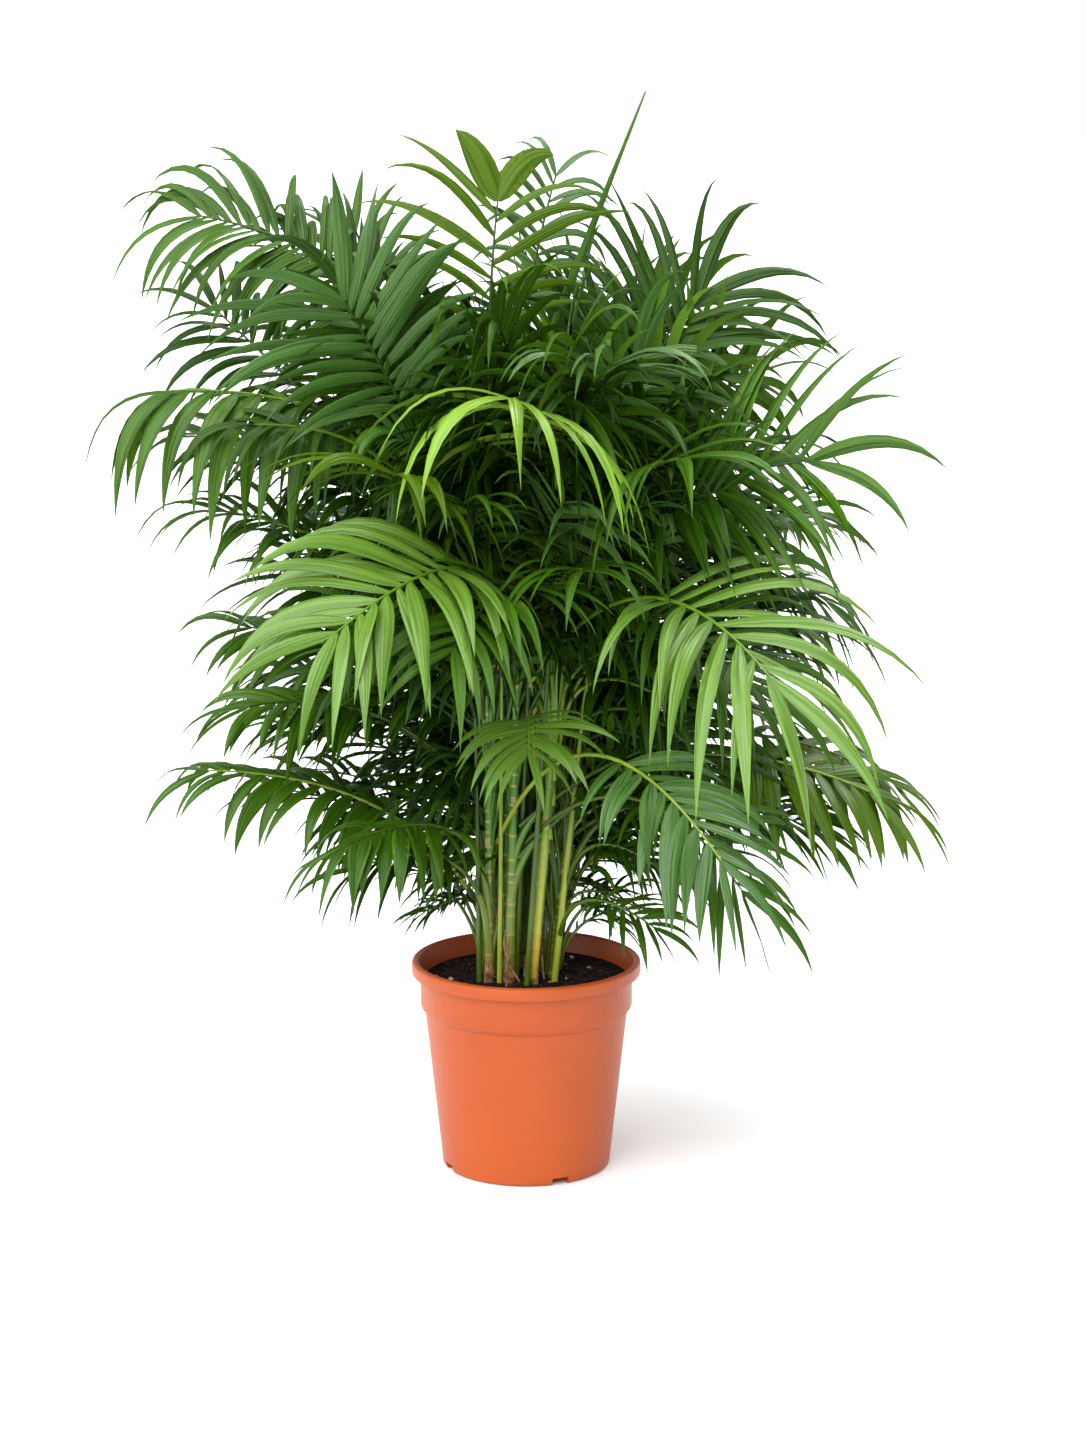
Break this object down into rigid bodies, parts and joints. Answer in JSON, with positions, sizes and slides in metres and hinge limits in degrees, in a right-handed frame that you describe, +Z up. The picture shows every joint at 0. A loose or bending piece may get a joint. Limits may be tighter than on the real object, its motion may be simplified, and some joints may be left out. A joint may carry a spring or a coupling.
{
  "type": "potted parlour palm",
  "caption": "Clump of slender upright canes with arching feather-shaped fronds, in a round tapered nursery pot with a rolled rim.",
  "frame": {"origin": "centre of the pot's flat underside, on the surface it stands on", "axes": "+Z up; -Y is the plant's front, the side in the picture; +X is to the right in the picture"},
  "size_m": [0.9617, 0.8755, 1.2052],
  "materials": {
    "leaf": "satin green leaf",
    "cane": "smooth ringed yellow-green cane",
    "pot": "terracotta-coloured moulded plastic",
    "soil": "dark potting soil with bark"
  },
  "bodies": {
    "root": {"cane_01": "cane", "cane_02": "cane", "cane_03": "cane", "cane_04": "cane", "cane_05": "cane", "cane_06": "cane", "cane_07": "cane", "cane_08": "cane", "cane_09": "cane", "cane_10": "cane", "frond_back_foot": "leaf", "frond_back_high": "leaf", "frond_back_high_right": "leaf", "frond_back_left": "leaf", "frond_back_low": "leaf", "frond_back_low_left": "leaf", "frond_back_low_right": "leaf", "frond_back_mid": "leaf", "frond_back_mid_left": "leaf", "frond_back_right": "leaf", "frond_crown_curl": "leaf", "frond_crown_dark": "leaf", "frond_crown_fan": "leaf", "frond_heart_dark": "leaf", "frond_heart_left": "leaf", "frond_heart_right": "leaf", "frond_left_arch": "leaf", "frond_left_back": "leaf", "frond_left_broad": "leaf", "frond_left_heart": "leaf", "frond_left_low_arch": "leaf", "frond_left_mid": "leaf", "frond_left_shade": "leaf", "frond_left_side": "leaf", "frond_left_side_low": "leaf", "frond_left_top": "leaf", "frond_lime_arch": "leaf", "frond_low_left": "leaf", "frond_low_left_back": "leaf", "frond_low_left_near": "leaf", "frond_low_right": "leaf", "frond_mid_left": "leaf", "frond_mid_left_back": "leaf", "frond_mid_right": "leaf", "frond_right_broad": "leaf", "frond_right_crown": "leaf", "frond_right_deep": "leaf", "frond_right_far": "leaf", "frond_right_gloss": "leaf", "frond_right_hang": "leaf", "frond_right_low": "leaf", "frond_right_reach": "leaf", "frond_right_shade": "leaf", "frond_right_under": "leaf", "frond_small_front": "leaf", "frond_sprout_right": "leaf", "pot": "pot", "soil": "soil", "spear": "leaf"}
  },
  "joints": []
}
